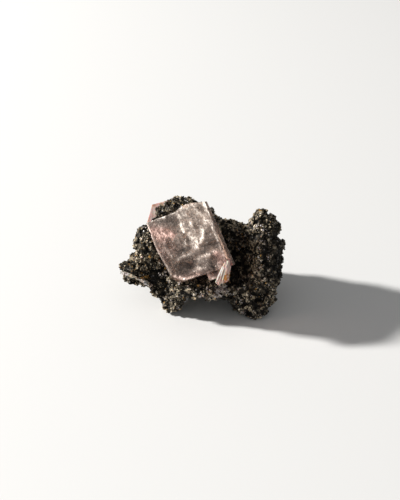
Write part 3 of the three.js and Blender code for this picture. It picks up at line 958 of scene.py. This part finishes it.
def makeRhomb():
    step = stepBlock()
    mesh = appliedModifier(rhombBlock(), "BOOLEAN", object=step, operation="UNION", solver="EXACT")
    bpy.data.objects.remove(step)
    mesh.name = "clearRhomb"
    places = vertexArray(mesh) / mm
    shares = placedShares(places)
    across, down, deep = shares.T
    depths = depthAt(across, down)
    lengths = rhombLengths(1.0)
    sizes = np.stack([np.ones(len(places)), np.ones(len(places)), depths], axis=1)
    inside = np.minimum(shares, sizes - shares) * lengths
    edgeWidth, paintedEdgeHighlight = rhomb["paintedEdgeHighlight"]
    edges = np.clip(1 - np.sort(np.abs(inside), axis=1)[:, 1] / edgeWidth, 0, 1)
    rightward = np.array(Vector(rhomb["down"]).cross(Vector(rhomb["back"])).normalized())
    rightward *= np.sign(rightward[0])
    bandAcross, bandDown, bandFacing = rhomb["bandFrom"]
    onBand = vertexArray(mesh, "normal") @ rightward > bandFacing
    onBand &= (down > bandDown) & (across > bandAcross)
    lineWidth, lineMilk = rhomb["outerEdge"]
    outerEdge = np.exp(-(((depths - deep) / lineWidth) ** 2)) * lineMilk
    everywhere, upperRight, bottom = rhomb["milk"]
    bandMilk, bandSmoke = rhomb["band"]
    base = everywhere + upperRight * across * (1 - down) - bottom * down
    base = np.where(onBand, bandMilk + outerEdge, base)
    smoke = np.where(onBand, bandSmoke * (1 - outerEdge), markingValues(places, markings["smoke"]))
    smoke = np.clip(smoke, 0, 1)
    milk = (base + markingValues(places, markings["milk"])) * (1 - rhomb["clearing"] * smoke)
    # painted highlight: whiter milk along all the edges
    milk += paintedEdgeHighlight * edges
    pink = rhomb["pink"][0] + rhomb["pink"][1] * down + markingValues(places, markings["pink"])
    # the milk also holds the painted highlights along the edges and down the middle
    addAttribute(mesh, "milk", np.clip(milk, rhomb["leastMilk"], rhomb["mostMilk"]))
    addAttribute(mesh, "pink", np.clip(pink, 0, 1))
    addAttribute(mesh, "smoke", smoke)
    addAttribute(mesh, "lie", shares * lengths)
    piece = finishPiece("clearRhomb", mesh, clearCalcite)
    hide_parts("calcite_rhomb")
    print("clear rhomb", len(mesh.polygons), "faces")


makeRhomb()


# the splintered corner: a fan of slender blades that lie along each other

splinters = {
    "seed": 5,
    "count": 150,
    "from": ((0.94, 0.91), (1.01, 0.9)),  # the fan's start on the rhomb, in shares
    "to": ((31.7, -33.7, -12.9), (37.0, -34.1, -12.1)),  # its far end, from the rhomb's top left
    "deep": (0.2, 2.6),       # where the blades start behind the front face
    "splay": 1.3,             # how far their far ends stand in front or behind
    "fanOut": 1.4,            # how far they stray to the sides
    "starts": (0.0, 0.65),    # where along the fan a blade starts, in shares of the fan's length
    "lengths": (0.25, 0.5),
    "drawnIn": 0.18,          # how much earlier the fan ends on its right
    "width": (0.3, 1.0),
    "thickness": (0.25, 0.9),
    "roll": 1.5,
    "slant": 0.5,
    "taper": 0.45,            # how wide the far end is beside the start
    "bevel": 0.06,
    "tones": (1.6, 1.6, 1.2),  # curve of the random tone, its most, and how much less on the right; the whiter left of the fan is a painted highlight
    "stainedFrom": (0.45, 0.42),  # shares across and along the fan past which ochre stain sits
    "stainFade": 0.3,
}
milkyCalcite = {
    "pinkWhite": (0.82, 0.53, 0.47),
    # the whitest tone; on the splinters' left blades it is a painted highlight
    "white": (0.95, 0.8, 0.74),
    "ochre": (0.62, 0.35, 0.05),
    "ochrePositions": (0.25, 0.65),
    "blotches": (700, 3, 0.42, 0.56, 0.2, 1.2),
    "transmission": 0.1,
    "subsurface": (0.3, 1.2),  # weight and depth
    "roughness": 0.4,
    "grit": (1400, 4, 0.35, 0.25),
}


def makeMilkyMaterial():
    material, tree, shader = startMaterial("milkyCalcite")
    tones = [(0, milkyCalcite["pinkWhite"]), (1, milkyCalcite["white"])]
    colour = addRamp(tree, readAttribute(tree, "tone"), tones)
    blotches = addNoiseRange(tree, milkyCalcite["blotches"])
    stain = addMath(tree, "MULTIPLY", readAttribute(tree, "stain"), blotches, clamped=True)
    low, high = milkyCalcite["ochrePositions"]
    ochre = addRamp(tree, stain, [(low, white), (high, milkyCalcite["ochre"])])
    tree.links.new(addMultiply(tree, colour, ochre), shader.inputs["Base Color"])
    shader.inputs["Transmission Weight"].default_value = milkyCalcite["transmission"]
    shader.inputs["IOR"].default_value = calcite["ior"]
    shader.inputs["Roughness"].default_value = milkyCalcite["roughness"]
    setSubsurface(shader, milkyCalcite["subsurface"])
    addGrit(tree, shader, milkyCalcite["grit"])
    return material


milkyMaterial = makeMilkyMaterial()


def makeSplinters():
    random = np.random.default_rng(splinters["seed"])
    bm = bmesh.new()
    facing = frontFacing()
    (acrossA, downA), (acrossB, downB) = splinters["from"]
    leftEnd, rightEnd = Vector(splinters["to"][0]), Vector(splinters["to"][1])
    curve, leftHighlightTone, highlightLessRight = splinters["tones"]
    stainAcross, stainAlong = splinters["stainedFrom"]
    tones, stains = [], []
    for i in range(splinters["count"]):
        share = (i + random.uniform(-1, 1)) / splinters["count"]
        share = min(max(share, 0), 1)
        across, down = acrossA + (acrossB - acrossA) * share, downA + (downB - downA) * share
        start = onRhomb(across, down, random.uniform(*splinters["deep"]))
        end = topLeft + leftEnd.lerp(rightEnd, share)
        end += facing * random.uniform(-splinters["splay"], splinters["splay"])
        end += (rightEnd - leftEnd).normalized() * random.uniform(-0.5, 0.5) * splinters["fanOut"]
        near = random.uniform(*splinters["starts"])
        far = min(near + random.uniform(*splinters["lengths"]), 1 - splinters["drawnIn"] * share)
        base, tip = start.lerp(end, near), start.lerp(end, far)
        along = (tip - base).normalized()
        beside = along.cross(facing).normalized()
        turn = Matrix((beside, along, beside.cross(along))).transposed().to_4x4()
        turn @= Matrix.Rotation(random.uniform(-1, 1) * splinters["roll"], 4, "Y")
        width, thickness = random.uniform(*splinters["width"]), random.uniform(*splinters["thickness"])
        size = Vector((width, (tip - base).length, thickness))
        blade = bmesh.ops.create_cube(bm, size=1)["verts"]
        slant = random.uniform(-splinters["slant"], splinters["slant"])
        for vert in blade:
            if vert.co.y > 0:
                vert.co.x *= splinters["taper"]
                vert.co.z *= splinters["taper"]
            vert.co.y += slant * vert.co.x * size.x / size.y
            vert.co = Vector(a * b for a, b in zip(vert.co, size))
        bmesh.ops.transform(bm, matrix=Matrix.Translation((base + tip) / 2) @ turn, verts=blade)
        # painted highlight: the blades are whiter towards the left of the fan
        tones += [min(random.random() ** curve * (leftHighlightTone - highlightLessRight * share), 1)] * len(blade)
        reach = min(max((share - stainAcross) / splinters["stainFade"], 0), 1)
        ends = [near if (vert.co - base).length < (vert.co - tip).length else far for vert in blade]
        stains += [reach * min(max((end - stainAlong) / splinters["stainFade"], 0), 1) for end in ends]
    toneLayer = bm.verts.layers.float.new("tone")
    stainLayer = bm.verts.layers.float.new("stain")
    for vert, tone, stain in zip(bm.verts, tones, stains):
        vert[toneLayer], vert[stainLayer] = tone, stain
    bevelEdges(bm, splinters["bevel"], 1)
    bmesh.ops.scale(bm, vec=(mm, mm, mm), verts=bm.verts)
    mesh = meshFrom(bm, "splinterCorner")
    finishPiece("splinterCorner", mesh, milkyMaterial)
    print("splinter corner", len(mesh.polygons), "faces")


makeSplinters()


# the smaller crystal behind the top left corner

rearCrystal = {
    "flat": 0.02,         # faces within this angle, in radians, become one
    "bevel": 0.18,
    "cuts": 5,
    "ripples": (0.9, 0.12),  # scale and depth
    "tones": (0.6, 2),    # the usual tone, and how much the ripples change it
    "stain": (0.8, 4, 0.5),  # at the top, millimetres over which it fades, and its most
}


def makeRearCrystal():
    bm = mergedCopy("calcite_rear")
    bmesh.ops.dissolve_limit(bm, angle_limit=rearCrystal["flat"], verts=bm.verts, edges=bm.edges)
    bevelEdges(bm, rearCrystal["bevel"] * mm, 2)
    bmesh.ops.triangulate(bm, faces=bm.faces)
    bmesh.ops.subdivide_edges(bm, edges=bm.edges, cuts=rearCrystal["cuts"], use_grid_fill=True)
    bmesh.ops.recalc_face_normals(bm, faces=bm.faces)
    places = np.array([vert.co for vert in bm.verts]) / mm
    scale, depth = rearCrystal["ripples"]
    ripples = np.array([noise.noise(Vector(place) * scale) for place in places])
    for vert, ripple in zip(bm.verts, ripples):
        vert.co -= vert.normal * abs(ripple) * depth * mm
    mesh = meshFrom(bm, "rearCrystal")
    fromTop = places[:, 2].max() - places[:, 2]
    usual, change = rearCrystal["tones"]
    atTop, fade, most = rearCrystal["stain"]
    addAttribute(mesh, "tone", np.clip(usual + change * ripples, 0, 1))
    addAttribute(mesh, "stain", np.clip(atTop - fromTop / fade, 0, most))
    piece = finishPiece("rearCrystal", mesh, milkyMaterial)
    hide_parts("calcite_rear")
    print("rear crystal", len(mesh.polygons), "faces")


makeRearCrystal()


# the pale vein along the left ledge

vein = {
    "voxel": 0.22,
    "smoothing": 7,
    "dents": (2.2, 0.35),  # spacing and depth
    "cream": (0.4, 0.345, 0.26),
    "blueWhite": (0.52, 0.51, 0.53),
    "body": (170, 3, 0.42, 0.58),
    "ochre": (0.7, 0.5, 0.3),
    "stains": (330, 5, 0.52, 0.66),
    "darkSpeck": (0.12, 0.1, 0.08),
    "specks": (1300, 3, 0.42, 0.5),
    "roughness": 0.42,
    "subsurface": (0.15, 0.8),
    "grit": (1100, 5, 0.4, 0.25),
}


def veinMaterial():
    material, tree, shader = startMaterial("paleVein")
    body = addNoiseRamp(tree, vein["body"], vein["cream"], vein["blueWhite"])
    stained = addMultiply(tree, body, addNoiseRamp(tree, vein["stains"], white, vein["ochre"]))
    specks = addNoiseRamp(tree, vein["specks"], vein["darkSpeck"], white)
    tree.links.new(addMultiply(tree, stained, specks), shader.inputs["Base Color"])
    shader.inputs["Roughness"].default_value = vein["roughness"]
    setSubsurface(shader, vein["subsurface"])
    addGrit(tree, shader, vein["grit"])
    return material


def makeVein():
    coarse = meshFrom(mergedCopy("calcite_vein"), "coarseVein")
    mesh = voxelMesh(coarse, vein["voxel"], vein["smoothing"])
    mesh.name = "paleVein"
    places, normals = vertexArray(mesh), vertexArray(mesh, "normal")
    spacing, depth = vein["dents"]
    dents = np.array([noise.voronoi(Vector(place) / (spacing * mm))[0][0] for place in places])
    places -= normals * (depth * dents * mm)[:, None]
    mesh.vertices.foreach_set("co", places.ravel())
    mesh.shade_smooth()
    mesh.update()
    piece = finishPiece("paleVein", mesh, veinMaterial())
    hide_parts("calcite_vein")
    print("pale vein", len(mesh.polygons), "faces")


makeVein()
